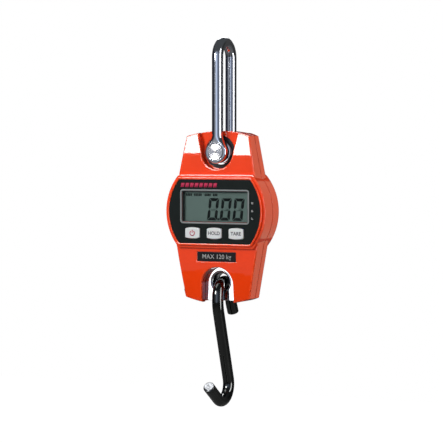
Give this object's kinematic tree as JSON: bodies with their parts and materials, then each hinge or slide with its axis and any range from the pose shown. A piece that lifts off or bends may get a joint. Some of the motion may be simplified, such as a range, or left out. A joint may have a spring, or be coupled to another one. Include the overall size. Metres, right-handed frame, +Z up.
{
  "type": "crane scale",
  "caption": "Compact hanging scale with a steel shackle above, an open hook below, a liquid crystal display, push keys and a battery door in the back of a rounded two-part housing.",
  "frame": {"origin": "inner crown of the shackle bow, where whatever carries the scale bears on it", "axes": "+Z up through the pin, the load cell and the hook; -Y out of the display; +X to the right of a reader facing the display"},
  "size_m": [0.0766, 0.0465, 0.2584],
  "materials": {
    "polished_steel": "polished bright plating",
    "turned_steel": "fine turned end face",
    "spring_steel": "oiled dark spring steel",
    "nylon": "natural nylon",
    "orange_shell": "high-gloss orange red",
    "black_rubber": "matt",
    "black_screws": "black oxide",
    "panel_black": "satin black sheet",
    "frame_grey": "light grey satin",
    "clear_window": "clear",
    "holder_black": "moulded",
    "lcd": "reflective grey green",
    "backlight": "diffusing",
    "zebra": "layered silicone",
    "circuit_board": "solder mask",
    "chips": "moulded epoxy",
    "zinc_screws": "zinc plated",
    "key_white": "smooth satin",
    "plunger": "moulded",
    "machined_cell": "ground and plated, mirror bright",
    "gauge_foil": "polyimide foil",
    "silicone": "soft sealant",
    "red_lead": "PVC insulation",
    "battery_jacket": "printed steel jacket",
    "spring_wire": "nickel plated",
    "nickel_plate": "nickel plated",
    "label_black": "printed foil",
    "label_silver": "printed foil",
    "bush_chrome": "hardened and polished",
    "black_chrome": "dark plated, glossy"
  },
  "bodies": {
    "shackle": {"shackle_bow": "polished_steel", "shackle_pin": "turned_steel", "pin_clip": "spring_steel", "pin_spacers": "nylon"},
    "housing": {"front_housing": "orange_shell", "rear_housing": "orange_shell", "seam_seal": "black_rubber", "front_eye_seal": "black_rubber", "rear_eye_seal": "black_rubber", "housing_screws": "black_screws", "cell_screws": "black_screws", "display_panel": "panel_black", "window_frame": "frame_grey", "display_window": "clear_window", "lcd_holder": "holder_black", "lcd_glass": "lcd", "lcd_backlight": "backlight", "zebra_strip": "zebra", "main_board": "circuit_board", "board_chips": "chips", "switch_bodies": "chips", "board_screws": "zinc_screws", "load_cell": "machined_cell", "strain_gauges": "gauge_foil", "gauge_cover": "silicone", "cell_lead": "red_lead", "battery_leads": "red_lead", "battery_cells": "battery_jacket", "battery_springs": "spring_wire", "battery_plates": "nickel_plate", "capacity_label": "label_black", "rear_label": "label_silver"},
    "power_key": {"power_key": "key_white", "power_plunger": "plunger"},
    "hold_key": {"hold_key": "key_white", "hold_plunger": "plunger"},
    "tare_key": {"tare_key": "key_white", "tare_plunger": "plunger"},
    "battery_door": {"battery_door": "orange_shell", "door_screw": "black_screws", "door_seal": "black_rubber"},
    "hook_bush": {"hook_bush": "bush_chrome"},
    "hook": {"hook": "black_chrome"}
  },
  "joints": [
    {"name": "shackle_pivot", "type": "hinge", "parent": "shackle", "child": "housing", "pos_m": [0, 0, -0.0724], "axis": [0, 1, 0], "range_deg": [-30, 30]},
    {"name": "bush_swing", "type": "hinge", "parent": "housing", "child": "hook_bush", "pos_m": [0, 0, -0.1631], "axis": [0, 1, 0], "range_deg": [-22, 22]},
    {"name": "hook_rock", "type": "hinge", "parent": "hook_bush", "child": "hook", "pos_m": [0, 0, -0.17342], "axis": [1, 0, 0], "range_deg": [-18, 18]},
    {"name": "power_press", "type": "slide", "parent": "housing", "child": "power_key", "axis": [0, 1, 0], "range_m": [0, 0.0005], "stiffness_N_per_m": 1500, "springref_m": -0.0005},
    {"name": "hold_press", "type": "slide", "parent": "housing", "child": "hold_key", "axis": [0, 1, 0], "range_m": [0, 0.0005], "stiffness_N_per_m": 1500, "springref_m": -0.0005},
    {"name": "tare_press", "type": "slide", "parent": "housing", "child": "tare_key", "axis": [0, 1, 0], "range_m": [0, 0.0005], "stiffness_N_per_m": 1500, "springref_m": -0.0005},
    {"name": "battery_door_lift", "type": "slide", "parent": "housing", "child": "battery_door", "axis": [0, 1, 0], "range_m": [0, 0.05]}
  ]
}
